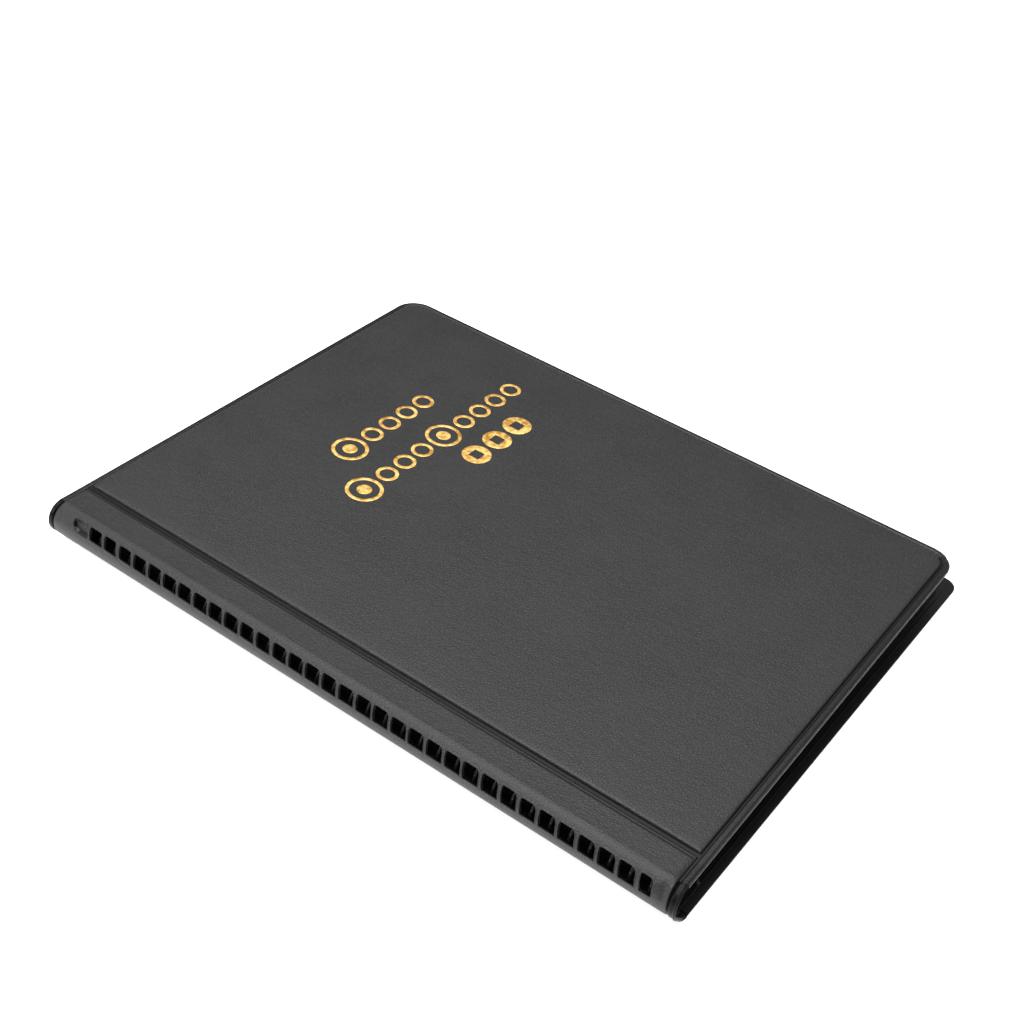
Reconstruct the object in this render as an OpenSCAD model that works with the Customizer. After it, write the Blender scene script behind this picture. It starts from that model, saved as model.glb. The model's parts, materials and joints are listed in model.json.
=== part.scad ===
// Coin album, closed, lying on its back cover.
// +X runs from the spine to the fore edge, +Y from foot to head, +Z up.
// The origin is the middle of the album's footprint, on the surface that it lies on.
// The cover is welded vinyl over foam and board, the leaves hang on a ring comb in the spine.

/* [Cover] */
// Height of the cover, foot to head
cover_h = 233; // [200:1:260]
// Width of a cover panel, from its crease to its fore edge
panel_w = 168; // [140:1:190]
// Radius of the two fore corners
corner_r = 9; // [5:1:14]
// Radius of the two fore corners of the back cover
back_corner_r = 5; // [4:1:14]
// Width of the welded rim round each cover
rim_w = 3.4; // [2.5:0.1:5]
// How far the front cover has slipped towards the spine over the back cover
slip = 12.4; // [0:0.2:14]
// How far the front cover springs open at rest, in degrees
tilt = 1.5; // [0:0.1:2]
// How far the back cover stands out past the front cover at the foot
skew = 0.8; // [0:0.1:1.2]

/* [Layers] */
// Outer vinyl
skin_t = 0.4; // [0.3:0.05:0.5]
// Foam under the outer vinyl
foam_t = 0.8; // [0.5:0.1:1]
// Grey board
board_t = 1.3; // [1:0.1:1.5]
// Inner vinyl film
lining_t = 0.3; // [0.2:0.05:0.4]
// How far the padded panel stands above its rim
crown = 0.5; // [0.3:0.05:0.6]

/* [Spine] */
// Thickness of the closed album beside the spine
spine_t = 14.6; // [14.4:0.1:16]
// Radius of the rounded nose
nose_r = 5.7; // [5.6:0.1:6]
// Thickness of the spine strip
spine_wall = 0.8; // [0.6:0.05:0.9]
// Number of comb rings; the one at the head has no window over it
ring_count = 34; // [21:1:34]
// Distance between neighbouring windows, and between rings
pitch = 6.35; // [6.35:0.05:6.4]
// Width of a window along the spine
window_w = 5; // [3:0.1:5.2]
// Height of a window round the nose
window_h = 4.2; // [3:0.1:4.4]
// Distance from the head of the cover to the first ring's middle
first_ring = 13.9; // [8.5:0.1:14]

/* [Comb] */
// Outer radius of a ring
ring_r = 5.3; // [5:0.05:5.4]
// Wall of a ring
ring_wall = 0.8; // [0.7:0.05:0.8]
// Width of a ring along the spine
ring_w = 1.6; // [1:0.1:2]

/* [Leaves] */
// Number of pocket leaves
leaf_count = 10; // [4:1:10]
// Distance between neighbouring leaves
leaf_pitch = 0.68; // [0.6:0.01:0.7]
// Clear film on each face of a leaf
film_t = 0.15; // [0.1:0.01:0.16]
// Dark sheet between the two films
sheet_t = 0.25; // [0.2:0.01:0.26]
// How far a leaf stops short of the front cover, at the fore edge, head and foot
leaf_inset = 6.5; // [5:0.5:10]
// Pockets across a leaf
pocket_cols = 4; // [3:1:5]
// Pockets down a leaf
pocket_rows = 6; // [4:1:7]

/* [Hidden] */
leaf_parts = ["front_film", "sheet", "back_film"];
$fn = 64;

function leaf_node(k, part) = str("leaf_", k < 10 ? "0" : "", k, "_", part);

// Places along X, from the nose, which is the leftmost line of the album.
crease_to_nose = 16.3;
total_w = crease_to_nose + panel_w + slip;
nose_x = -total_w / 2;
front_crease = nose_x + crease_to_nose;
front_edge = front_crease + panel_w;
back_crease = front_crease + slip;
back_edge = back_crease + panel_w;

// Section of the spine: a round nose, a flank at 45 degrees and a soft foot.
nose_z = spine_t - nose_r;
nose_cx = nose_x + nose_r;
front_hinge_x = nose_cx;
flank_dir = 225;
flank_x = nose_cx + nose_r * cos(flank_dir);
flank_z = nose_z + nose_r * sin(flank_dir);
foot_r = 5;
window_dir = 34;
window_corner = 1.2;
foot_z = foot_r * (1 - cos(45));
foot_start_x = flank_x + flank_z - foot_z;
back_hinge_x = foot_start_x + foot_r * sin(45);

// Comb, in the hollow of the spine.
comb_x = nose_cx + 2;
comb_z = 8;
ring_in = ring_r - ring_wall;
strip_from = 215;
strip_to = 278;
strip_inset = 0.1;
function ring_y(i) = cover_h / 2 - first_ring - i * pitch;
row_mid = (ring_y(0) + ring_y(ring_count - 1)) / 2;
row_len = ring_y(0) - ring_y(ring_count - 1);

// Levels in a cover, from its rim's outer face: the front cover measures down, the back up.
board_gap = 1.5;
board_inset = rim_w + 1;
back_rim_z = crown;

// Leaves.
leaf_t = 2 * film_t + sheet_t;
leaf_x0 = comb_x + 0.6;
leaf_x1 = front_edge - leaf_inset + 0.5;
leaf_h = cover_h - 2 * leaf_inset;
hole_w = ring_w + 0.8;
hole_x0 = comb_x + 2.65;
hole_x1 = comb_x + ring_r + 0.5;
function leaf_z(k) = comb_z + ((leaf_count + 1) / 2 - k) * leaf_pitch;

// Flap that ties the comb to the back cover.
flap_t = 0.6;
flap_z = 3.6;
flap_weld = 12;

vinyl = [0.29, 0.29, 0.29];
film = [0.75, 0.8, 0.85, 0.35];
gold = [0.83, 0.66, 0.33];
board = [0.55, 0.52, 0.47];
foam = [0.8, 0.8, 0.78];
dark = [0.06, 0.06, 0.07];

// Stands a flat section (x, z) up and runs it along Y about the middle y.
module along_y(len, y = 0)
    translate([0, y + len / 2, 0]) rotate([90, 0, 0]) linear_extrude(len) children();

// Plate outline with two round corners at its fore edge.
module panel_outline(x0, x1, h, r) {
    translate([x0, -h / 2]) square([x1 - x0 - r, h]);
    translate([x0, -h / 2 + r]) square([x1 - x0, h - 2 * r]);
    for (side = [-1, 1]) translate([x1 - r, side * (h / 2 - r)]) circle(r);
}

module panel(x0, x1, h, r, z0, z1)
    translate([0, 0, z0]) linear_extrude(z1 - z0) panel_outline(x0, x1, h, r);

// Panel inside the rim, shrunk by a further margin.
module inner_panel(crease, edge, margin, z0, z1)
    panel(crease + board_gap + margin, edge - board_inset - margin,
        cover_h - 2 * (board_inset + margin), corner_r - board_inset - margin + 2, z0, z1);

// Outer vinyl of one cover, seen with its outer face up at z = 0: a rim and a raised panel.
module skin_shell(start, crease, edge, r) {
    difference() {
        union() {
            panel(start, edge, cover_h, r, -skin_t, 0);
            inner_panel(crease, edge, 0, -skin_t, crown);
        }
        inner_panel(crease, edge, skin_t, -skin_t - 1, crown - skin_t);
        for (dx = [0, -1.6])
            translate([crease + dx - 0.3, -cover_h / 2 + 8, -0.2]) cube([0.6, cover_h - 16, 1]);
    }
}

// Inner vinyl of one cover: a rim welded to the skin and a tray round the board.
module lining_shell(start, crease, edge, r) {
    depth = foam_t + board_t - crown + skin_t;
    difference() {
        union() {
            panel(start, edge, cover_h, r, -2 * skin_t, -skin_t);
            inner_panel(crease, edge, 0, -depth - lining_t, -skin_t);
        }
        inner_panel(crease, edge, skin_t, -depth, 0);
    }
}

// Foam and board fill the space between the two shells, a hair clear of their walls.
module foam_core(crease, edge)
    inner_panel(crease, edge, skin_t + 0.1, crown - skin_t - foam_t, crown - skin_t);
module board_core(crease, edge)
    inner_panel(crease, edge, skin_t + 0.1,
        crown - skin_t - foam_t - board_t, crown - skin_t - foam_t);

// Front cover parts turn up by the tilt about the line where the cover meets the nose.
module at_front()
    translate([front_hinge_x, skew / 2, spine_t]) rotate([0, -tilt, 0])
        translate([-front_hinge_x, 0, 0]) children();

// Back cover parts are the same shells with their outer face down.
module at_back() translate([0, -skew / 2, back_rim_z]) mirror([0, 0, 1]) children();

module front_cover_skin()
    color(vinyl) at_front() skin_shell(front_hinge_x, front_crease, front_edge, corner_r);
module front_cover_foam() color(foam) at_front() foam_core(front_crease, front_edge);
module front_cover_board() color(board) at_front() board_core(front_crease, front_edge);
module front_cover_lining()
    color(dark) at_front() lining_shell(front_hinge_x, front_crease, front_edge, corner_r);

module back_cover_skin()
    color(vinyl) at_back() skin_shell(back_hinge_x, back_crease, back_edge, back_corner_r);
module back_cover_foam() color(foam) at_back() foam_core(back_crease, back_edge);
module back_cover_board() color(board) at_back() board_core(back_crease, back_edge);
module back_cover_lining()
    color(dark) at_back() lining_shell(back_hinge_x, back_crease, back_edge, back_corner_r);

// Pie slice from angle a to angle b, drawn in (x, z).
module slice(a, b, r)
    polygon(concat([[0, 0]], [for (i = [0:6]) let (d = a + (b - a) * i / 6) 2 * r * [cos(d), sin(d)]]));

// Curved wall of outer radius r, from angle a to angle b.
module wall_arc(r, wall, a, b) intersection() {
    difference() {
        circle(r);
        circle(r - wall);
    }
    slice(a, b, r);
}

// Everything inside the spine's outer line, drawn in (x, z) and shrunk by a wall.
module spine_fill(wall) {
    inward = wall * [cos(45), sin(45)];
    translate([nose_cx, nose_z]) circle(nose_r - wall);
    translate([back_hinge_x, foot_r]) circle(foot_r - wall);
    polygon([[nose_cx, nose_z], [flank_x, flank_z] + inward,
        [foot_start_x, foot_z] + inward, [back_hinge_x, foot_r]]);
}

// Section of the spine strip: the wall, left of the line between its two hinges.
module spine_section() intersection() {
    difference() {
        spine_fill(0);
        spine_fill(spine_wall);
    }
    polygon([[front_hinge_x, spine_t + 1], [nose_cx, nose_z], [back_hinge_x, foot_r],
        [back_hinge_x, -1], [nose_x - 1, -1], [nose_x - 1, spine_t + 1]]);
}

// One punched window, square but for a round upper corner on its foot side.
module window_punch() {
    depth = 6;
    w = window_w;
    h = window_h;
    r = window_corner;
    translate([-w / 2, -h / 2, -depth / 2]) linear_extrude(depth) {
        square([w, h - r]);
        square([w - r, h]);
        translate([w - r, h - r]) circle(r);
    }
}

// Spine strip: every ring but the first has a window over it.
module spine_strip() color(vinyl) difference() {
    along_y(cover_h) spine_section();
    for (i = [1:ring_count - 1])
        translate([nose_cx, ring_y(i), nose_z]) rotate([0, window_dir, 0])
            translate([-nose_r, 0, 0]) rotate([90, 0, -90]) window_punch();
}

module binding_comb() color(dark) translate([comb_x, 0, comb_z]) {
    for (i = [0:ring_count - 1]) along_y(ring_w, ring_y(i)) difference() {
        circle(ring_r);
        circle(ring_in);
    }
    along_y(row_len, row_mid)
        wall_arc(ring_r - strip_inset, ring_wall - 2 * strip_inset, strip_from, strip_to);
}

// Row of rectangular binding holes, one for each ring.
module binding_holes(x0, x1, z0, z1)
    for (i = [0:ring_count - 1])
        translate([x0, ring_y(i) - hole_w / 2, z0]) cube([x1 - x0, hole_w, z1 - z0]);

module binding_flap() {
    rest_z = back_rim_z + foam_t + board_t - crown + skin_t + lining_t;
    ring_side = comb_x + 4.6;
    board_side = back_crease + board_gap + 1;
    color(dark) difference() {
        along_y(leaf_h) polygon([
            [comb_x - 0.6, flap_z], [ring_side, flap_z],
            [board_side, rest_z], [board_side + flap_weld, rest_z],
            [board_side + flap_weld, rest_z + flap_t], [board_side, rest_z + flap_t],
            [ring_side, flap_z + flap_t], [comb_x - 0.6, flap_z + flap_t]]);
        binding_holes(comb_x + 0.9, comb_x + 4.1, flap_z - 1, flap_z + flap_t + 1);
    }
}

// One layer of a leaf, with its binding holes.
module leaf_plate(z0, z1) difference() {
    translate([leaf_x0, -leaf_h / 2, z0]) cube([leaf_x1 - leaf_x0, leaf_h, z1 - z0]);
    binding_holes(hole_x0, hole_x1, z0 - 1, z1 + 1);
}

// Clear film with the slit of each pocket cut along its head side.
module leaf_film(z0, z1) {
    col_w = (leaf_x1 - hole_x1 - 6) / pocket_cols;
    row_h = leaf_h / pocket_rows;
    slit_w = 1.2;
    difference() {
        leaf_plate(z0, z1);
        for (c = [0:pocket_cols - 1], r = [0:pocket_rows - 1])
            translate([hole_x1 + 4 + c * col_w + 2, leaf_h / 2 - r * row_h - 3, z0 - 1])
                cube([col_w - 4, slit_w, z1 - z0 + 2]);
    }
}

module leaf_sheet(k) color(dark) leaf_plate(leaf_z(k) - sheet_t / 2, leaf_z(k) + sheet_t / 2);
module leaf_front_film(k) color(film) leaf_film(leaf_z(k) + sheet_t / 2, leaf_z(k) + leaf_t / 2);
module leaf_back_film(k) color(film) leaf_film(leaf_z(k) - leaf_t / 2, leaf_z(k) - sheet_t / 2);

// Gold foil on the front cover: two rows of round coins and a row of square-holed ones. Each row is
// [distance from the head, distance from the crease, coin radii], and the coins stand in a line.
foil_t = 0.06;
foil_line = 1.3;
foil_gap = 1.6;
big = 6.4;
small = 3.9;
foil_rows = [
    [49, 66, [big, small, small, small, small]],
    [67, 52, [big, small, small, small, big, small, small, small, small]]];
holed_row = [82, 95, [5.2, 5.2, 5.2]];

// Distance from a row's start to the middle of its coin i.
function coin_x(radii, i) = radii[i] + (i == 0 ? 0 : coin_x(radii, i - 1) + radii[i - 1] + foil_gap);

// A plain coin is a ring, and a big one has a disc in it.
module foil_coin(r) {
    difference() {
        circle(r);
        circle(r - foil_line);
    }
    if (r == big) circle(0.4 * r);
}

module holed_coin(r) difference() {
    circle(r);
    square(0.8 * r, center = true);
}

module foil_row(row, holed) for (i = [0:len(row[2]) - 1])
    translate([row[1] + coin_x(row[2], i), -row[0]])
        if (holed) holed_coin(row[2][i]); else foil_coin(row[2][i]);

module cover_ornament() color(gold) at_front() translate([front_crease, cover_h / 2, crown])
    linear_extrude(foil_t) {
        for (row = foil_rows) foil_row(row, false);
        foil_row(holed_row, true);
    }

back_cover_skin();
back_cover_foam();
back_cover_board();
back_cover_lining();
binding_comb();
binding_flap();
spine_strip();
front_cover_skin();
front_cover_foam();
front_cover_board();
front_cover_lining();
cover_ornament();
for (k = [1:leaf_count]) {
    leaf_front_film(k);
    leaf_sheet(k);
    leaf_back_film(k);
}
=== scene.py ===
import json
import math

import bmesh
import bpy
import numpy as np
from mathutils import Euler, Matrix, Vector


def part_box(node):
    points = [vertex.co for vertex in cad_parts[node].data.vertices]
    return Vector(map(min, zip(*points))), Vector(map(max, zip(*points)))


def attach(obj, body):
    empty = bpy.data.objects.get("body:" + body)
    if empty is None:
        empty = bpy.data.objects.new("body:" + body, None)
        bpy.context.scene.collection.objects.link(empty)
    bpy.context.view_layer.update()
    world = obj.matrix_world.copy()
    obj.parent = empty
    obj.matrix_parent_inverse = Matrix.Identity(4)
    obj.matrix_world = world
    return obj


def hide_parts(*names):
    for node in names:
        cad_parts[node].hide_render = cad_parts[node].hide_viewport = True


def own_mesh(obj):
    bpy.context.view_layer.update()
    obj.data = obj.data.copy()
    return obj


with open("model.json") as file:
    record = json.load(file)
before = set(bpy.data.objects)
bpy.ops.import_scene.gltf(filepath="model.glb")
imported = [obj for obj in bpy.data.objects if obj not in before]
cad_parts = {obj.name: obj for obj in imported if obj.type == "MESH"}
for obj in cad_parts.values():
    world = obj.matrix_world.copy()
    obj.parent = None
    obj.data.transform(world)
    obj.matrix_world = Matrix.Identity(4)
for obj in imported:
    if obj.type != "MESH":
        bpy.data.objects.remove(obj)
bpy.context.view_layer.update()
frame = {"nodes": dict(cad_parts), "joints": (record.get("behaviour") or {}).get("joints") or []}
mm = 0.001  # sizes are in millimetres, and in metres only where a note says so


# A node's box in mm.
def boxMm(node):
    low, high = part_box(node)
    return np.array(low) / mm, np.array(high) / mm


joints = {j["name"]: j for j in frame["joints"]}
spineLow, spineHigh = boxMm("spine_strip")
hingeX = joints["front_cover_open"]["pos_m"][0] / mm  # the front cover meets the nose here
spineTop = joints["front_cover_open"]["pos_m"][2] / mm
footX = joints["spine_fold"]["pos_m"][0] / mm  # the back cover meets the spine here
combX = joints["leaf_01_turn"]["pos_m"][0] / mm
combZ = joints["leaf_01_turn"]["pos_m"][2] / mm
coverHeight = spineHigh[1] - spineLow[1]
half = coverHeight / 2

print("scene: frame loaded")


# Points in mm, faces as index rows. The value given for each point is how much leather grain the skin keeps;
# a low value also paints its colour darker and its reflection weaker, as painted shade.
def makeMesh(name, points, faces, grain_and_shade=None):
    mesh = bpy.data.meshes.new(name)
    mesh.from_pydata((np.asarray(points, float) * mm).tolist(), [], [list(f) for f in faces])
    mesh.update()
    piece = bpy.data.objects.new(name, mesh)
    bpy.context.scene.collection.objects.link(piece)
    mesh.polygons.foreach_set("use_smooth", np.ones(len(mesh.polygons), bool))
    if grain_and_shade is not None:
        grainShadeFac = mesh.attributes.new("grain_and_shade", "FLOAT", "POINT")
        grainShadeFac.data.foreach_set("value", np.asarray(grain_and_shade, np.float32))
    return piece


# Quads of a rows x cols grid of points; keep masks the cells, closed joins the last row to the first.
def gridFaces(rows, cols, keep=None, closed=False):
    index = np.arange(rows * cols).reshape(rows, cols)
    nxt = np.roll(index, -1, 0) if closed else index[1:]
    cur = index if closed else index[:-1]
    quads = np.stack([cur[:, :-1], nxt[:, :-1], nxt[:, 1:], cur[:, 1:]], -1)
    if keep is not None:
        return quads[keep].reshape(-1, 4)
    return quads.reshape(-1, 4)


# Welds doubled points, turns the faces outwards and gives the skin its thickness inwards. outward is a
# function from face middles in mm to directions.
def shell(piece, thickness, outward):
    mesh = piece.data
    bm = bmesh.new()
    bm.from_mesh(mesh)
    bmesh.ops.remove_doubles(bm, verts=bm.verts, dist=0.004 * mm)
    bmesh.ops.recalc_face_normals(bm, faces=bm.faces)
    middles = np.array([f.calc_center_median() for f in bm.faces]) / mm
    normals = np.array([f.normal for f in bm.faces])
    if (normals * outward(middles)).sum() < 0:
        bmesh.ops.reverse_faces(bm, faces=bm.faces)
    bm.to_mesh(mesh)
    bm.free()
    thick = piece.modifiers.new("wall", "SOLIDIFY")
    thick.thickness = thickness * mm
    thick.offset = -1
    outer = len(mesh.polygons)
    evaluated = piece.evaluated_get(bpy.context.evaluated_depsgraph_get())
    piece.data = bpy.data.meshes.new_from_object(evaluated)
    piece.modifiers.clear()
    piece.data.name = piece.name
    side = np.zeros(len(piece.data.polygons), np.int32)
    side[outer:2 * outer] = 1  # the inner face takes the second material
    piece.data.polygons.foreach_set("material_index", side)
    piece.data.set_sharp_from_angle(angle=math.radians(50))
    return piece


# Zero to one with level ends: 3t^2 - 2t^3.
def smoothStep(t):
    t = np.clip(t, 0, 1)
    return t * t * (3 - 2 * t)


# Rounded ridge of height one: a bell over the distance from its centre.
def bump(distance, centre, width):
    return np.exp(-((distance - centre) / width) ** 2)


# Line positions from (start, end, count) stretches, without doubles.
def spread(*stops):
    values = np.concatenate([np.linspace(a, b, n) for a, b, n in stops])
    return np.unique(np.round(values, 5))


cover = {
    "width": 178.6,  # hinge line to fore edge
    "creaseAt": 10.6,  # hinge line to crease
    "creaseDeep": 2.1,
    "creaseWide": 0.5,
    "secondAt": -1.55,  # faint second line on the spine's side of the crease
    "secondDeep": 0.1,
    "secondWide": 0.3,
    "tilt": math.radians(1.5),  # how far the front cover springs open
    "tiltRun": 2.5,  # the tilt starts gently over this distance
    "skew": 0.8,  # back cover past the front one at the foot
    "skin": 0.4,
    "backLift": 0.5,  # the back cover's rim over the table
    "grooveAt": 2.85,  # weld groove, in from the edge
    "grooveDeep": 0.55,
    "grooveWide": 0.36,
    "narrow": 1.45,  # distances to the head and the fore edge count this much more
    "lipAt": 0.45,
    "lipHigh": 0.24,
    "lipWide": 0.34,
    "edgeDrop": 0.28,  # rounding of the very edge
    "edgeRun": 0.35,
    "shoulder": 0.75,  # padded edge of the panel over its rim
    "shoulderRun": (0.8, 0.7),  # rises within this distance of the groove and of the crease
    "crown": 0.6,  # further rise towards the middle
    "crownRun": (28.0, 18.0),
    "flapLow": 0.05,  # the flap beside the crease
    "flapHigh": 0.5,  # the rest of the flap, up to the hinge line
    "flapRun": 2.2,
    "uneven": 0.12,  # slow waves in the padded face
    "unevenSize": 70,
}


# Distance to the nearest edge, as a rounded minimum. Distances to the head and the fore edge count for more,
# which makes the rim narrower there.
def edgeDistance(x, y, width):
    sides = cover["narrow"] * np.minimum(half - y, width - x)
    return -0.5 * np.logaddexp(-2 * (y + half), -2 * sides)


# Welded rim over the distance d from its edge: rolled edge, lip raised most along the foot, field, groove.
def rimHeight(d, y):
    c = cover
    z = c["lipHigh"] * bump(d, c["lipAt"], c["lipWide"]) * (1 - 0.75 * smoothStep((y + half - 3) / 6))
    z = z - c["edgeDrop"] * (1 - smoothStep(d / c["edgeRun"]))
    return z - c["grooveDeep"] * bump(d, c["grooveAt"], c["grooveWide"])


# Outer face over the rim's plane, for the distance x from the hinge line and d from the nearest edge: a
# padded panel that starts steeply at the rim's groove and at the crease, and a softer flap by the spine.
def coverHeightAt(x, y, d):
    c = cover
    past = np.clip(d - c["grooveAt"], 0, None)
    over = x - c["creaseAt"]
    panel = np.clip(over, 0, None)
    onPanel = (1 - np.exp(-past / c["shoulderRun"][0])) * (1 - np.exp(-panel / c["shoulderRun"][1]))
    swell = (1 - np.exp(-past / c["crownRun"][0])) * (1 - np.exp(-panel / c["crownRun"][1]))
    z = c["shoulder"] * onPanel + c["crown"] * swell
    flap = smoothStep((-over - 0.5) / 0.5) * c["flapLow"] + smoothStep((-over - 1.9) / 0.9) * c["flapHigh"]
    z = z + flap * smoothStep(past / c["flapRun"])
    stops = smoothStep((d - 2.7) / 0.8)  # the crease runs up to the groove
    z = z - c["creaseDeep"] * stops * bump(over, 0, c["creaseWide"])
    z = z - c["secondDeep"] * stops * bump(over, c["secondAt"], c["secondWide"])
    return z + rimHeight(d, y)


# Slow unevenness between minus one and one: five crossed waves with phases from the seed.
def wander(x, y, size, seed):
    draw = np.random.default_rng(seed)
    total = 0
    for k in range(5):
        angle = draw.uniform(0, math.tau)
        length = size * draw.uniform(0.7, 1.6)
        phase = draw.uniform(0, math.tau)
        total = total + np.sin(math.tau * (x * math.cos(angle) + y * math.sin(angle)) / length + phase)
    return total / 5


# Flat cover outline as a grid: lines crowd at the rim and the crease, and the two fore corners of radius
# r are rounded by turning each square corner block into a quarter disc.
def coverGrid(r, width):
    rim = spread((0, 1.2, 11), (1.2, 2.1, 4), (2.1, 4.4, 18), (4.4, 9, 8))
    crease = spread((0, 6.6, 7), (6.6, 8.2, 8), (8.2, 12.4, 36), (12.4, 18, 8))
    x = np.concatenate([crease, np.linspace(18, width - 9, 60)[1:-1], width - rim[::-1]])
    y = np.concatenate([-half + rim, np.linspace(-half + 9, half - 9, 84)[1:-1], half - rim[::-1]])
    x = np.unique(np.round(np.append(x, width - r), 5))
    y = np.unique(np.round(np.append(y, (half - r, r - half)), 5))
    gx, gy = np.meshgrid(x, y, indexing="ij")
    px, py = gx.copy(), gy.copy()
    d = edgeDistance(gx, gy, width)
    for side in (-1, 1):
        cx, cy = width - r, side * (half - r)
        inBlock = (gx > cx) & (side * (gy - cy) > 0)
        a = np.where(inBlock, (gx - cx) / r, 0)
        b = np.where(inBlock, side * (gy - cy) / r, 0)
        m = np.maximum(a, b)
        ratio = np.minimum(a, b) / np.maximum(m, 1e-9)
        angle = np.where(a >= b, ratio * math.pi / 4, math.pi / 2 - ratio * math.pi / 4)
        px = np.where(inBlock, cx + r * m * np.cos(angle), px)
        py = np.where(inBlock, cy + side * r * m * np.sin(angle), py)
    return px, py, d


# Cover coordinates to the frame: skewed along the hinge line and tilted open about it. The tilt starts
# gently, so the skin leaves the nose level.
def frontPoint(x, y, z):
    c, s = math.cos(cover["tilt"]), math.sin(cover["tilt"])
    rise = x - cover["tiltRun"] * (1 - np.exp(-x / cover["tiltRun"]))
    return np.stack([hingeX + x * c - z * s, y + cover["skew"] / 2 + 0 * x, spineTop + rise * s + z * c], -1)


# The back cover lies face down, so its heights point to the table.
def backPoint(x, y, z):
    return np.stack([footX + x, y - cover["skew"] / 2 + 0 * x, cover["backLift"] - z], -1)


# Height of the front cover's panel, for what is stamped on it.
def panelSurface(x, y):
    d = edgeDistance(x, y, cover["width"])
    return coverHeightAt(x, y, d) + unevenness(x, y, d, 3)


# Slow waves in the padded face, none near the rim or the crease.
def unevenness(x, y, d, seed):
    waves = cover["uneven"] * wander(x, y, cover["unevenSize"], seed)
    return waves * smoothStep((d - 4) / 12) * smoothStep((x - 13) / 12)


# How much grain is left: all of it on the padded faces, a third on the welded rim, none in the folds. Where
# it is low the colour is also painted dark, as painted shade in the crease, the rim's groove, on the rim and
# on the flap.
def grainAndShadeAt(d, over=9.0):
    # Painted shade: the crease and a softer line on its spine side lose their grain and are painted dark.
    crease = bump(over, 0.0, 0.9) + 0.75 * bump(over, -1.3, 0.7)
    # The rim keeps a third of its grain and is painted darker, as painted shade; its groove is painted near
    # black.
    rim = 0.3 + 0.7 * smoothStep((d - cover["grooveAt"]) / 0.9)
    rim = rim * (1 - 0.9 * bump(d, cover["grooveAt"], 0.4))
    flapSmoothAndShade = 1 - 0.16 * smoothStep((-over - 1.5) / 3)  # a little smoother on the flap and the spine, and painted a little darker there as shade
    return rim * flapSmoothAndShade * np.clip(1 - crease * smoothStep((d - 2.4) / 0.5), 0, 1)


# Skin of one cover: heights on the grid, capped at highest, put in place and given its thickness inwards.
def makeCoverSkin(name, place, seed, radius, width, up, highest):
    px, py, d = coverGrid(radius, width)
    z = np.minimum(coverHeightAt(px, py, d) + unevenness(px, py, d, seed), highest)
    grain_and_shade = grainAndShadeAt(d, px - cover["creaseAt"]).ravel()
    piece = makeMesh(name, place(px, py, z).reshape(-1, 3), gridFaces(*px.shape), grain_and_shade)
    return shell(piece, cover["skin"], lambda middles: np.array([0, 0, up]))


frontSkin = makeCoverSkin("front_cover_vinyl", frontPoint, 3, 9, cover["width"], 1, math.inf)
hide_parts("front_cover_skin")
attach(frontSkin, "front_cover")

backWidth = boxMm("back_cover_skin")[1][0] - footX
backSkin = makeCoverSkin("back_cover_vinyl", backPoint, 8, 5, backWidth, -1, cover["backLift"])
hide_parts("back_cover_skin")
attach(backSkin, "back_cover")
print("scene: cover skins")


spine = {
    "noseR": 5.7,
    "footR": 5.0,
    "wall": 0.8,
    "rings": 34,
    "pitch": 6.35,
    "firstRing": 13.9,
    "windowWide": 5.25,
    "windowHigh": 4.5,
    "windowMiddle": 5.5,  # along the skin from the hinge line
    "vary": (0.95, 1.03),  # share of its size that a window comes out at
    "stray": 0.12,  # and how far off its place
    "lastWide": 0.72,  # the window at the foot is narrower and shifted
    "lastShift": 0.5,
    "margin": 0.85,
    "cornerSmall": 0.45,
    "cornerLarge": 1.5,
    "drift": 1.1,  # the row sits this much higher at the head and lower at the foot
    "lean": 0.42,  # sideways run of the bars for each millimetre down
    "leanMore": 0.3,  # share by which that is stronger at the head and weaker at the foot
    "leanRun": 3.5,  # it levels off at this distance from the windows' middle
    "leanEnds": 12,  # and fades out over this distance at head and foot
    "blindHalf": (2.2, 3.2),  # half height and half width of the window pressed but not cut
    "blindShift": 0.4,
    "blindDeep": 1.5,
    "dentAt": (4.6, 4.6),  # soft dent: along the skin, and past the last window
    "dentSize": (2.6, 1.2),
    "dentDeep": 0.6,
    "crumpleAt": (3.0, 7.5),  # small creases: along the skin, and up from the foot
    "crumpleSize": (1.8, 3.2),
    "crumpleHigh": 0.24,
    "crumpleWave": 2.4,
}
noseX = hingeX
noseZ = spineTop - spine["noseR"]
noseTurn = math.radians(135)  # how far the nose goes round
footTurn = math.radians(45)
flankTurn = math.radians(225)  # the way the flank between them faces
noseArc = noseTurn * spine["noseR"]
flankZ = noseZ + spine["noseR"] * math.sin(flankTurn)
footStartZ = spine["footR"] * (1 - math.cos(footTurn))
flankLength = (flankZ - footStartZ) * math.sqrt(2)
footArc = footTurn * spine["footR"]
spineLength = noseArc + flankLength + footArc


# Point and outward normal at the distance u round the spine: nose arc, straight flank, foot arc.
def spineProfile(u):
    angle = np.clip(u / spine["noseR"], 0, noseTurn) + math.pi / 2
    along = np.clip(u - noseArc, 0, flankLength)
    turn = np.clip((u - noseArc - flankLength) / spine["footR"], 0, footTurn) + flankTurn
    x = noseX + spine["noseR"] * np.cos(angle) + along * math.sqrt(0.5)
    z = noseZ + spine["noseR"] * np.sin(angle) - along * math.sqrt(0.5)
    onFoot = u > noseArc + flankLength
    x = np.where(onFoot, footX + spine["footR"] * np.cos(turn), x)
    z = np.where(onFoot, spine["footR"] + spine["footR"] * np.sin(turn), z)
    normalAngle = np.where(onFoot, turn, angle)
    return x, z, np.cos(normalAngle), np.sin(normalAngle)


# Place of ring i along the spine, counted from the head.
def ringY(i):
    return half - spine["firstRing"] - i * spine["pitch"]


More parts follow.
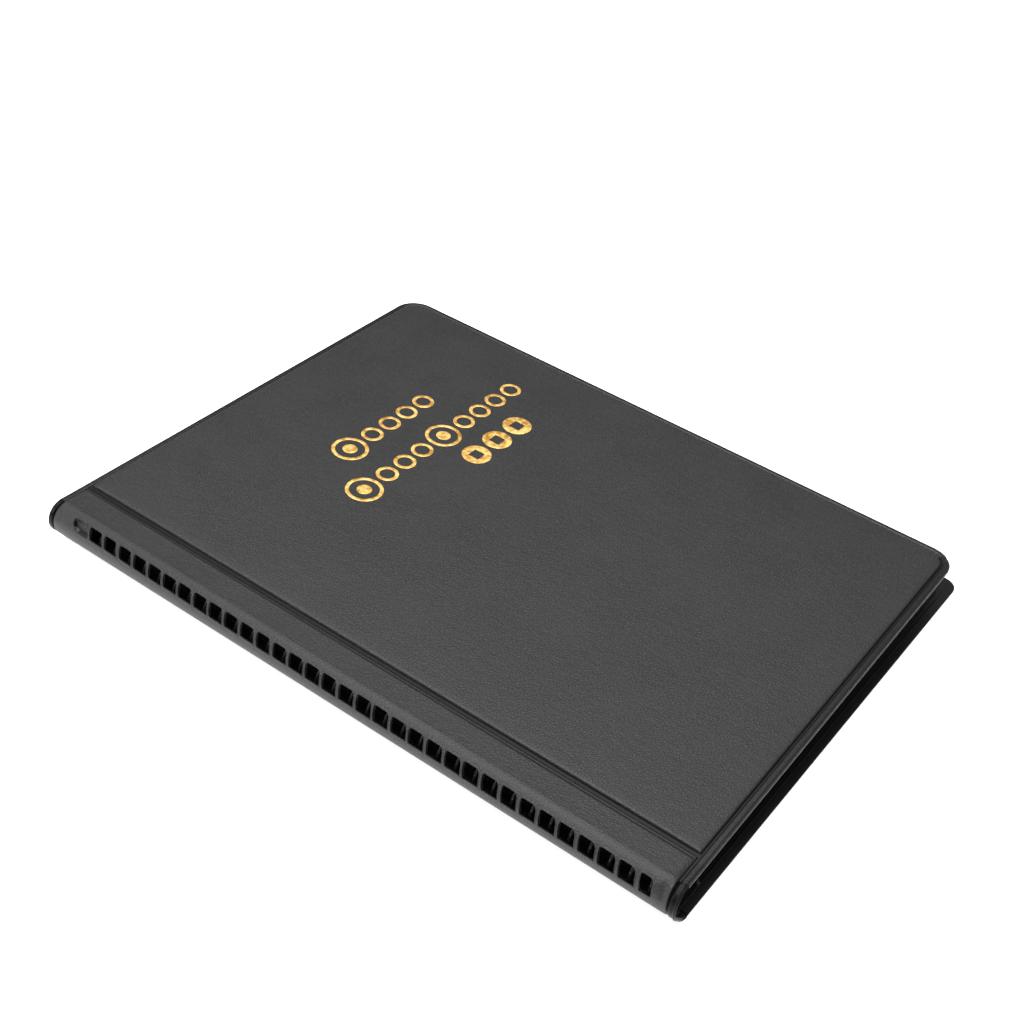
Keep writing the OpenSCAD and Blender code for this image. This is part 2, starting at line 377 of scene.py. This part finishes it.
# Outline of the window that was pressed but not cut: one on the line, less inside.
def blindWindow(u, v):
    high, wide = spine["blindHalf"]
    down = np.abs((u - spine["windowMiddle"]) / high) ** 4
    return down + np.abs((v - ringY(0) - spine["blindShift"]) / wide) ** 4


# Round spot, one in its middle: a bell over the two distances a and b.
def spot(a, b, size):
    return np.exp(-(a / size[0]) ** 2 - (b / size[1]) ** 2)


# Grain kept on the strip, which also paints shade: hardly any on the welded ends, which are painted dark as
# shade, and little in a line round the blind window except on its foot side, a painted shadow in the dent.
def spineGrainAndShade(u, v):
    # Painted shadow: a dark line round the blind window, left off on its foot side.
    line = bump(blindWindow(u, v), 0.75, 0.45) * smoothStep((v - ringY(0) + 2.0) / 1.0)
    d = edgeDistance(0, v, cover["width"])
    # Painted shade: the welded ends of the strip are painted dark.
    return grainAndShadeAt(d, -cover["creaseAt"]) * (0.3 + 0.7 * smoothStep((d - 2.6) / 1.2)) * (1 - 0.9 * line)


# Rise of the skin off the spine's line: rim at head and foot, the blind window at the head, a soft dent past
# the last window and small creases near the foot.
def spineHeight(u, v):
    s = spine
    d = edgeDistance(0, v, cover["width"])
    past = np.clip(d - cover["grooveAt"], 0, None)
    flap = cover["flapHigh"] * smoothStep(past / cover["flapRun"])
    z = rimHeight(d, v) + flap * (1 - smoothStep(u / 5.0))
    pressed = 1 - smoothStep((blindWindow(u, v) - 0.5) / 0.5)
    z = z - s["blindDeep"] * pressed * (0.9 + 0.1 * (u - s["windowMiddle"]))
    dent = spot(u - s["dentAt"][0], v - ringY(s["rings"] - 1) + s["dentAt"][1], s["dentSize"])
    crumpled = spot(u - s["crumpleAt"][0], v + half - s["crumpleAt"][1], s["crumpleSize"])
    waves = s["crumpleHigh"] * wander(u, v, s["crumpleWave"], 12)
    return z - s["dentDeep"] * dent + waves * crumpled


# Skin coordinates to the frame. The row of windows drifts down from head to foot and its bars lean, while
# the hinge lines and the two ends stay straight.
def spinePoint(u, v, drop):
    s = spine
    ends = smoothStep((half - np.abs(v)) / s["leanEnds"])
    levelled = s["leanRun"] * np.tanh((s["windowMiddle"] - u) / s["leanRun"])
    lean = s["lean"] * (1 + s["leanMore"] * v / half) * levelled * ends
    lean = lean * np.sin(math.pi * np.clip(u / spineLength, 0, 1)) ** 0.5
    h = spineHeight(u, v) - drop
    u = u - s["drift"] * v / half * np.sin(math.pi * u / spineLength)
    x, z, nx, nz = spineProfile(u)
    shear = cover["skew"] * (0.5 - u / spineLength)
    return np.stack([x + nx * h, v + shear + lean, np.maximum(z + nz * h, 0)], -1)


# Distance from the cell's middle to the window's outline at each angle, by walking a dense outline.
def windowOutline(angles, wide, high, shift):
    a, b = wide / 2, high / 2
    corners = [  # (side along v, side along u, radius)
        (1, 1, spine["cornerSmall"]), (-1, 1, spine["cornerLarge"]),
        (-1, -1, spine["cornerSmall"]), (1, -1, spine["cornerSmall"])]
    outline = []
    start = 0.0
    for sv, su, r in corners:
        arc = np.linspace(start, start + math.pi / 2, 12)
        side = sv * (a - r) + r * np.cos(arc) + shift
        outline.append(np.stack([side, su * (b - r) + r * np.sin(arc)], -1))
        start += math.pi / 2
    outline = np.concatenate(outline)
    outline = np.concatenate([outline, outline[:1]])
    steps = np.linspace(0, 1, 60)[:, None, None]
    dense = (outline[:-1] * (1 - steps) + outline[1:] * steps).transpose(1, 0, 2).reshape(-1, 2)
    theta = np.arctan2(dense[:, 1], dense[:, 0])
    order = np.argsort(theta)
    return np.interp(angles, theta[order], np.hypot(dense[:, 0], dense[:, 1])[order], period=math.tau)


# Strip with its windows. A plain grid covers all but the row; each place in the row is a square block whose
# rings of points run from the window's outline (step 0) to the block's border (step 1), with the lip rolled.
def makeSpine():
    s = spine
    cellHigh = s["windowHigh"] + 2 * s["margin"]
    cellTop = s["windowMiddle"] - cellHigh / 2
    a, b = s["pitch"] / 2, cellHigh / 2
    corner = math.atan2(b, a)
    quarter = np.unique(np.round(np.concatenate([
        np.linspace(0, corner, 7), np.linspace(corner, math.pi / 2, 7)]), 6))
    angles = np.concatenate([quarter, math.pi - quarter[::-1][1:], math.pi + quarter[1:],
                             math.tau - quarter[::-1][1:-1]])
    across, down = [np.maximum(np.abs(f(angles)), 1e-6) for f in (np.cos, np.sin)]
    boxR = np.minimum(a / across, b / down)
    sideU = np.unique(np.round(np.tan(quarter[quarter <= corner + 1e-6]) * a, 6))
    sideU = np.concatenate([-sideU[::-1][:-1], sideU]) + cellTop + b
    topV = np.unique(np.round(b / np.tan(quarter[quarter >= corner - 1e-6]), 6))
    topV = np.concatenate([-topV[::-1][:-1], topV])
    firstY, lastY = ringY(1) + a, ringY(s["rings"] - 1) - a
    edge = spread((0, 1.5, 13), (1.5, 2.4, 5), (2.4, 3.9, 16), (3.9, 5.5, 6))
    head = np.concatenate([half - edge, np.linspace(half - 5.5, firstY, 36)[1:]])
    foot = np.concatenate([-half + edge, np.linspace(-half + 5.5, lastY, 10)[1:]])
    cells = np.concatenate([ringY(i) + topV for i in range(1, s["rings"])])
    v = np.unique(np.round(np.concatenate([head, foot, cells]), 4))
    below = np.linspace(cellTop + cellHigh, spineLength, 18)[1:]
    u = np.concatenate([np.linspace(0, cellTop, 7)[:-1], sideU, below])
    gu, gv = np.meshgrid(u, v, indexing="ij")
    midU = (u[:-1] + u[1:]) / 2
    midV = (v[:-1] + v[1:]) / 2
    inRow = (midU > cellTop) & (midU < cellTop + cellHigh)
    inCells = (midV < firstY) & (midV > lastY)
    keep = ~(inRow[:, None] & inCells[None, :])
    parts = [spinePoint(gu, gv, 0).reshape(-1, 3)]
    grain_and_shade = [spineGrainAndShade(gu, gv).ravel()]
    faces = [gridFaces(len(u), len(v), keep)]
    count = len(parts[0])
    steps = np.array([0, 0.06, 0.16, 0.34, 0.62, 1.0])
    roll = np.array([0.2, -0.05, -0.12, -0.04, 0, 0])
    for i in range(1, s["rings"]):
        last = i == s["rings"] - 1
        draw = np.random.default_rng(100 + i)
        wide = s["windowWide"] * (s["lastWide"] if last else draw.uniform(*s["vary"]))
        high = s["windowHigh"] * draw.uniform(*s["vary"])
        shift = draw.uniform(-s["stray"], s["stray"]) + (s["lastShift"] if last else 0)
        holeR = windowOutline(angles, wide, high, shift)
        radius = holeR[:, None] * (1 - steps) + boxR[:, None] * steps
        pv = ringY(i) + radius * np.cos(angles)[:, None]
        pu = cellTop + b - radius * np.sin(angles)[:, None]
        parts.append(spinePoint(pu, pv, roll[None, :] + 0 * pu).reshape(-1, 3))
        faces.append(gridFaces(len(angles), len(steps), closed=True)[:, ::-1] + count)
        grain_and_shade.append(np.ones(pu.size))
        count += pu.size
    piece = makeMesh("spine_vinyl", np.concatenate(parts), np.concatenate(faces), np.concatenate(grain_and_shade))
    axis = np.array([noseX + 1, 0, noseZ - 1])
    return shell(piece, s["wall"], lambda middles: (middles - axis) * np.array([1, 0, 1]))


spineSkin = makeSpine()
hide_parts("spine_strip")
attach(spineSkin, "spine")
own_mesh(spineSkin)
print("scene: spine strip")


combParts = {
    "wire": 0.5,  # radius of the wire
    "strip": (215, 278),  # the back strip's stretch round the ring, in degrees
    "stripHalf": 0.45,  # half its thickness
    "stripPast": 0.6,  # how far it runs past the end rings
}


# Round wire loops, each a circle carried round a circle, and a back strip, an arc carried along the row.
def makeComb():
    wire = combParts["wire"]
    ringR = (boxMm("binding_comb")[1][0] - boxMm("binding_comb")[0][0]) / 2 - wire
    turn = np.linspace(0, math.tau, 73)[:-1]
    section = np.linspace(0, math.tau, 13)[:-1]
    t, q = np.meshgrid(turn, section, indexing="ij")
    r = ringR + wire * np.cos(q)
    loop = np.stack([combX + r * np.cos(t), wire * np.sin(q), combZ + r * np.sin(t)], -1)
    index = np.arange(t.size).reshape(t.shape)
    quads = np.stack([index, np.roll(index, -1, 0), np.roll(np.roll(index, -1, 0), -1, 1),
                      np.roll(index, -1, 1)], -1).reshape(-1, 4)
    points, faces = [], []
    for i in range(spine["rings"]):
        shifted = loop.reshape(-1, 3) + np.array([0, ringY(i), 0])
        points.append(shifted)
        faces.append(quads + i * t.size)
    count = spine["rings"] * t.size
    around = np.radians(np.linspace(*combParts["strip"], 12))
    inner, outer = ringR - combParts["stripHalf"], ringR + combParts["stripHalf"]
    ring = np.concatenate([
        np.stack([outer * np.cos(around), outer * np.sin(around)], -1),
        np.stack([inner * np.cos(around[::-1]), inner * np.sin(around[::-1])], -1)])
    past = combParts["stripPast"]
    ends = (ringY(0) + past, ringY(spine["rings"] - 1) - past)
    strip = np.stack([
        np.stack([combX + ring[:, 0], y + 0 * ring[:, 0], combZ + ring[:, 1]], -1) for y in ends])
    n = len(ring)
    k = np.arange(n)
    band = np.stack([k, (k + 1) % n, (k + 1) % n + n, k + n], -1)
    m = len(around)
    caps = [[j, 2 * m - 1 - j, 2 * m - 2 - j, j + 1] for j in range(m - 1)]
    capFaces = caps + [[p + n for p in c[::-1]] for c in caps]
    points.append(strip.reshape(-1, 3))
    faces.append(np.concatenate([band, np.array(capFaces)]) + count)
    return makeMesh("ring_comb", np.concatenate(points), np.concatenate(faces))


comb = makeComb()
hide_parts("binding_comb")
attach(comb, "back_cover")
print("scene: ring comb")


ornament = {
    "thick": 0.05,
    "line": 1.3,
    "gap": 1.6,
    "big": 6.4,
    "small": 3.9,
    "holed": 5.2,
    # down from the head, in from the crease, and the coins: big, small or holed
    "rows": [(49, 66, "BSSSS"), (67, 52, "BSSSBSSSS"), (82, 95, "HHH")],
}


# Flat ring between two outlines, raised along its middle: rows of points from the hole outwards.
def foilBand(inner, outer, steps=48, square=False):
    t = np.linspace(0, math.tau, steps + 1)[:-1]
    if square:
        inside = inner / np.maximum(np.abs(np.cos(t)), np.abs(np.sin(t)))
    else:
        inside = inner + 0 * t
    f = np.array([0, 0.06, 0.25, 0.5, 0.75, 0.94, 1.0])
    lift = np.array([-0.03, 0.6, 0.9, 1.0, 0.9, 0.6, -0.03]) * ornament["thick"]
    r = inside[:, None] * (1 - f) + outer * f
    return r * np.cos(t)[:, None], r * np.sin(t)[:, None], lift[None, :] + 0 * r


# Coins laid out in rows from left to right, each band set on the panel's surface.
def makeOrnament():
    points, faces, count = [], [], 0
    for head, start, coins in ornament["rows"]:
        x = cover["creaseAt"] + start
        for kind in coins:
            r = {"B": ornament["big"], "S": ornament["small"], "H": ornament["holed"]}[kind]
            x += r
            bands = []
            if kind == "H":
                bands.append(foilBand(0.4 * r, r, 64, True))
            else:
                bands.append(foilBand(r - ornament["line"], r))
                if kind == "B":
                    bands.append(foilBand(0.02, 0.4 * r, 32))
            for bx, by, bz in bands:
                fx, fy = x + bx, half - head + by
                z = panelSurface(fx, fy) + bz
                points.append(frontPoint(fx, fy, z).reshape(-1, 3))
                faces.append(gridFaces(*bx.shape, closed=True)[:, ::-1] + count)
                count += bx.size
            x += r + ornament["gap"]
    return makeMesh("gold_ornament", np.concatenate(points), np.concatenate(faces))


foil = makeOrnament()
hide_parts("cover_ornament")
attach(foil, "front_cover")
print("scene: gold ornament")


# sRGB hex to the linear colour that shaders take.
def hexColour(text):
    c = np.array([int(text[i:i + 2], 16) / 255 for i in (0, 2, 4)])
    c = np.where(c <= 0.04045, c / 12.92, ((c + 0.055) / 1.055) ** 2.4)
    return (*[float(v) for v in c], 1.0)


# An empty material and its node tree.
def newMaterial(name):
    material = bpy.data.materials.new(name)
    material.use_nodes = True
    tree = material.node_tree
    tree.nodes.clear()
    return material, tree


# One node: settings set its properties and sockets, links join its inputs to other nodes' outputs.
def addNode(tree, kind, settings, **links):
    node = tree.nodes.new(kind)
    for key, value in settings.items():
        if isinstance(key, str) and hasattr(node, key):
            setattr(node, key, value)
        else:
            node.inputs[key].default_value = value
    for key, source in links.items():
        slot = int(key[2:]) if key[:2] == "in" else key.replace("_", " ")
        tree.links.new(source, node.inputs[slot])
    return node


# Colour ramp through the given stops, (place, colour).
def ramp(tree, source, stops):
    node = addNode(tree, "ShaderNodeValToRGB", {}, Fac=source)
    elements = node.color_ramp.elements
    while len(elements) < len(stops):
        elements.new(0.5)
    for element, (at, colour) in zip(elements, stops):
        element.position = at
        element.color = colour if len(colour) == 4 else (*colour, 1.0)
    return node


# One value as a colour.
def grey(v):
    return (v, v, v, 1.0)


# Pattern scale for a feature size in mm: features a metre, to the nearest five.
def perMetre(size):
    return 5.0 * round(200 / size)


leather = {  # mm
    "pebble": 0.91,
    "wobble": 1.11,  # waves in the pebbles' outlines
    "wobbleBy": 0.5,
    "wrinkle": 1.92,
    "cloud": 22.2,
    "deep": 0.22,
}


# Black vinyl film, calendered and embossed with leather pebbles and long wrinkles. It gives a fine, soft
# sheen; where it is welded or folded it is smooth. Where the grain value is low, in the folds, on the rim and
# a little on the flap and the spine, its colour is painted near black and its reflection turned down, as
# painted shade.
def leatherVinyl():
    material, tree = newMaterial("embossed_black_vinyl")
    coords = addNode(tree, "ShaderNodeTexCoord", {}).outputs["Object"]
    warp = addNode(tree, "ShaderNodeTexNoise", {
        "Scale": perMetre(leather["wobble"]), "Detail": 2.0}, Vector=coords)
    mixed = addNode(tree, "ShaderNodeVectorMath", {
        "operation": "MULTIPLY_ADD", 1: (leather["wobbleBy"] * mm,) * 3},
                    in0=warp.outputs["Color"], in2=coords)
    pebbles = addNode(tree, "ShaderNodeTexVoronoi", {
        "feature": "DISTANCE_TO_EDGE", "Scale": perMetre(leather["pebble"])}, Vector=mixed.outputs[0])
    pebbleTop = ramp(tree, pebbles.outputs["Distance"], [(0.0, grey(0)), (0.25, grey(0.8)), (0.6, grey(1))])
    stretched = addNode(tree, "ShaderNodeMapping", {"Rotation": (0, 0, 0.4), "Scale": (1.0, 0.35, 1.0)},
                        Vector=mixed.outputs[0])
    wrinkle = addNode(tree, "ShaderNodeTexNoise", {
        "Scale": perMetre(leather["wrinkle"]), "Detail": 5.0, "Roughness": 0.6}, Vector=stretched.outputs[0])
    height = addNode(tree, "ShaderNodeMath", {"operation": "MULTIPLY_ADD", 1: 0.5},
                     in0=pebbleTop.outputs["Color"], in2=wrinkle.outputs["Fac"])
    grainShadeFac = addNode(tree, "ShaderNodeAttribute", {"attribute_name": "grain_and_shade"}).outputs["Fac"]
    strength = addNode(tree, "ShaderNodeMapRange", {3: 0.1, 4: 0.7}, in0=grainShadeFac)
    bumpNode = addNode(tree, "ShaderNodeBump", {"Distance": leather["deep"] * mm},
                       Height=height.outputs[0], Strength=strength.outputs[0])
    clouds = addNode(tree, "ShaderNodeTexNoise", {
        "Scale": perMetre(leather["cloud"]), "Detail": 4.0, "Roughness": 0.65}, Vector=coords)
    tone = ramp(tree, clouds.outputs["Fac"], [(0.3, hexColour("1E1E1E")), (0.7, hexColour("262627"))])
    # Painted shade: the pebbles' edges are painted darker, for the shade in the hollows between them.
    shadedPebbles = addNode(tree, "ShaderNodeMix", {"data_type": "RGBA", "blend_type": "MULTIPLY", 0: 0.4},
                      in6=tone.outputs["Color"], in7=pebbleTop.outputs["Color"])
    # Painted shade: the colour goes to near black where the grain value is low.
    pressed = addNode(tree, "ShaderNodeMix", {"data_type": "RGBA", 6: hexColour("070606")},
                      in0=grainShadeFac, in7=shadedPebbles.outputs[2])
    rough = addNode(tree, "ShaderNodeMapRange", {3: 0.24, 4: 0.46}, in0=grainShadeFac)
    patchy = addNode(tree, "ShaderNodeMath", {"operation": "MULTIPLY_ADD", 1: 0.14},
                     in0=clouds.outputs["Fac"], in2=rough.outputs[0])
    # Painted shade as well: the reflection is turned down where the grain value is low.
    sheen = addNode(tree, "ShaderNodeMapRange", {2: 0.35, 3: 0.02, 4: 0.5}, in0=grainShadeFac)
    shader = addNode(tree, "ShaderNodeBsdfPrincipled", {"IOR": 1.5}, Base_Color=pressed.outputs[2],
                     Roughness=patchy.outputs[0], Normal=bumpNode.outputs[0])
    tree.links.new(sheen.outputs[0], shader.inputs["Specular IOR Level"])
    addNode(tree, "ShaderNodeOutputMaterial", {}, Surface=shader.outputs[0])
    return material


# Plain stock: a cloudy tone about 17 mm across and a fine tooth, whose size is given in mm.
def plainFilm(name, darkHex, lightHex, roughLow, roughHigh, tooth, strength):
    material, tree = newMaterial(name)
    coords = addNode(tree, "ShaderNodeTexCoord", {}).outputs["Object"]
    clouds = addNode(tree, "ShaderNodeTexNoise", {"Scale": perMetre(16.7), "Detail": 5.0}, Vector=coords)
    tone = ramp(tree, clouds.outputs["Fac"], [(0.3, hexColour(darkHex)), (0.7, hexColour(lightHex))])
    fine = addNode(tree, "ShaderNodeTexNoise", {"Scale": perMetre(tooth), "Detail": 3.0}, Vector=coords)
    bumpNode = addNode(tree, "ShaderNodeBump", {"Strength": strength, "Distance": 0.05 * mm},
                       Height=fine.outputs["Fac"])
    rough = addNode(tree, "ShaderNodeMapRange", {1: 0.3, 2: 0.7, 3: roughLow, 4: roughHigh},
                    in0=fine.outputs["Fac"])
    shader = addNode(tree, "ShaderNodeBsdfPrincipled", {"IOR": 1.5, "Specular IOR Level": 0.3},
                     Base_Color=tone.outputs["Color"], Roughness=rough.outputs[0], Normal=bumpNode.outputs[0])
    addNode(tree, "ShaderNodeOutputMaterial", {}, Surface=shader.outputs[0])
    return material


# Gold foil, hot stamped: a thin metal film, blurred by the 2 mm unevenness of the vinyl it is pressed into.
def goldFoil():
    material, tree = newMaterial("hot_stamped_gold_foil")
    coords = addNode(tree, "ShaderNodeTexCoord", {}).outputs["Object"]
    patches = addNode(tree, "ShaderNodeTexNoise", {"Scale": perMetre(2.0), "Detail": 4.0}, Vector=coords)
    tone = ramp(tree, patches.outputs["Fac"], [(0.35, hexColour("DDA24A")), (0.6, hexColour("FFDD8C"))])
    bumpNode = addNode(tree, "ShaderNodeBump", {"Strength": 0.5, "Distance": 0.06 * mm},
                       Height=patches.outputs["Fac"])
    rough = addNode(tree, "ShaderNodeMapRange", {1: 0.3, 2: 0.7, 3: 0.42, 4: 0.62},
                    in0=patches.outputs["Fac"])
    shader = addNode(tree, "ShaderNodeBsdfPrincipled", {"Metallic": 1.0},
                     Base_Color=tone.outputs["Color"], Roughness=rough.outputs[0], Normal=bumpNode.outputs[0])
    addNode(tree, "ShaderNodeOutputMaterial", {}, Surface=shader.outputs[0])
    return material


# Clear soft vinyl, calendered: mostly see-through with a faint grey tint, glossy, wavy about every 14 mm.
def clearFilm():
    material, tree = newMaterial("clear_soft_vinyl")
    coords = addNode(tree, "ShaderNodeTexCoord", {}).outputs["Object"]
    waves = addNode(tree, "ShaderNodeTexNoise", {"Scale": perMetre(14.3), "Detail": 2.0}, Vector=coords)
    bumpNode = addNode(tree, "ShaderNodeBump", {"Strength": 0.25, "Distance": 0.3 * mm},
                       Height=waves.outputs["Fac"])
    rough = addNode(tree, "ShaderNodeMapRange", {1: 0.3, 2: 0.7, 3: 0.08, 4: 0.2}, in0=waves.outputs["Fac"])
    shader = addNode(tree, "ShaderNodeBsdfPrincipled", {"IOR": 1.52, "Alpha": 0.16},
                     Roughness=rough.outputs[0], Normal=bumpNode.outputs[0])
    shader.inputs["Base Color"].default_value = hexColour("2E3236")
    addNode(tree, "ShaderNodeOutputMaterial", {}, Surface=shader.outputs[0])
    return material


vinyl = leatherVinyl()
# Vinyl film, calendered smooth: near black, with a dull sheen.
lining = plainFilm("matt_black_vinyl_film", "0B0A0C", "100F11", 0.35, 0.5, 0.714, 0.3)
# Card, uncoated: black and dull.
card = plainFilm("matt_black_card", "161616", "1D1D1D", 0.7, 0.85, 0.4, 0.4)
# Steel wire, dipped in nylon: black with sharp glints.
wireCoat = plainFilm("nylon_coated_wire", "1C1C1E", "262628", 0.16, 0.22, 3.33, 0.02)
# Grey board, pressed from pulp: warm grey and chalky.
greyBoard = plainFilm("pressed_grey_board", "7A756B", "8E897E", 0.85, 0.95, 0.556, 0.6)
# Foam, expanded with closed cells: off-white and finely pitted.
foamSheet = plainFilm("closed_cell_foam", "C9C8C2", "D8D7D1", 0.8, 0.95, 0.667, 0.7)
gold = goldFoil()
film = clearFilm()


# Replaces all of a piece's materials by one.
def paint(piece, material):
    piece.data.materials.clear()
    piece.data.materials.append(material)


ownPieces = [(frontSkin, (vinyl, lining)), (backSkin, (vinyl, lining)), (spineSkin, (vinyl, lining)),
             (comb, (wireCoat,)), (foil, (gold,))]
for piece, materials in ownPieces:
    for material in materials:
        piece.data.materials.append(material)
nodeFinish = {  # by the last word of a node's name
    "lining": lining, "board": greyBoard, "foam": foamSheet, "flap": lining, "film": film, "sheet": card,
    "skin": vinyl, "comb": wireCoat, "ornament": gold, "strip": vinyl}
for node, piece in frame["nodes"].items():
    for word, material in nodeFinish.items():
        if node.endswith(word):
            paint(piece, material)
print("scene: materials")


studio = {
    "floor": 3000.0,  # half its width
    "floorGlow": 0.75,
    "top": ((-0.1, 0.1, 1.1), (1.3, 1.3), 24),  # place and size in metres, power in watts
    "left": ((-0.9, 0.7, 0.6), (0.5, 0.5), 4.5),
    "world": 0.26,
    "lens": 55.03,
    "sensor": 36,
    "cameraAt": (-0.35686, -0.20011, 0.32252),  # metres
    "cameraTurn": (53.293, -7.262, -54.489),  # degrees
}
floorSize = studio["floor"]
floor = makeMesh("floor", [(-floorSize, -floorSize, 0), (floorSize, -floorSize, 0), (floorSize, floorSize, 0),
                           (-floorSize, floorSize, 0)], [(0, 1, 2, 3)])
floorMaterial, floorTree = newMaterial("white_paper_sweep")
floorShader = addNode(floorTree, "ShaderNodeBsdfPrincipled", {"Roughness": 0.9, "Specular IOR Level": 0.1})
floorShader.inputs["Base Color"].default_value = hexColour("F4F4F4")
floorShader.inputs["Emission Color"].default_value = hexColour("FFFFFF")
floorShader.inputs["Emission Strength"].default_value = studio["floorGlow"]
addNode(floorTree, "ShaderNodeOutputMaterial", {}, Surface=floorShader.outputs[0])
paint(floor, floorMaterial)


# Soft box at a place, turned to the middle of the table.
def softLight(name, place, size, power):
    data = bpy.data.lights.new(name, "AREA")
    data.shape = "RECTANGLE"
    data.size, data.size_y = size
    data.energy = power
    lamp = bpy.data.objects.new(name, data)
    lamp.location = place
    lamp.rotation_euler = (-Vector(place)).to_track_quat("-Z", "Y").to_euler()
    bpy.context.scene.collection.objects.link(lamp)


softLight("top_softbox", *studio["top"])
softLight("left_softbox", *studio["left"])
world = bpy.data.worlds.new("studio")
world.use_nodes = True
world.node_tree.nodes["Background"].inputs[0].default_value = hexColour("FFFFFF")
world.node_tree.nodes["Background"].inputs[1].default_value = studio["world"]
bpy.context.scene.world = world
bpy.context.scene.view_settings.view_transform = "Standard"

camera = bpy.data.objects.new("camera", bpy.data.cameras.new("camera"))
camera.data.lens = studio["lens"]
camera.data.sensor_width = studio["sensor"]
camera.data.clip_start = 0.01
bpy.context.scene.collection.objects.link(camera)
camera.location = studio["cameraAt"]
camera.rotation_euler = Euler([math.radians(a) for a in studio["cameraTurn"]])
bpy.context.scene.camera = camera
print("scene: stage")
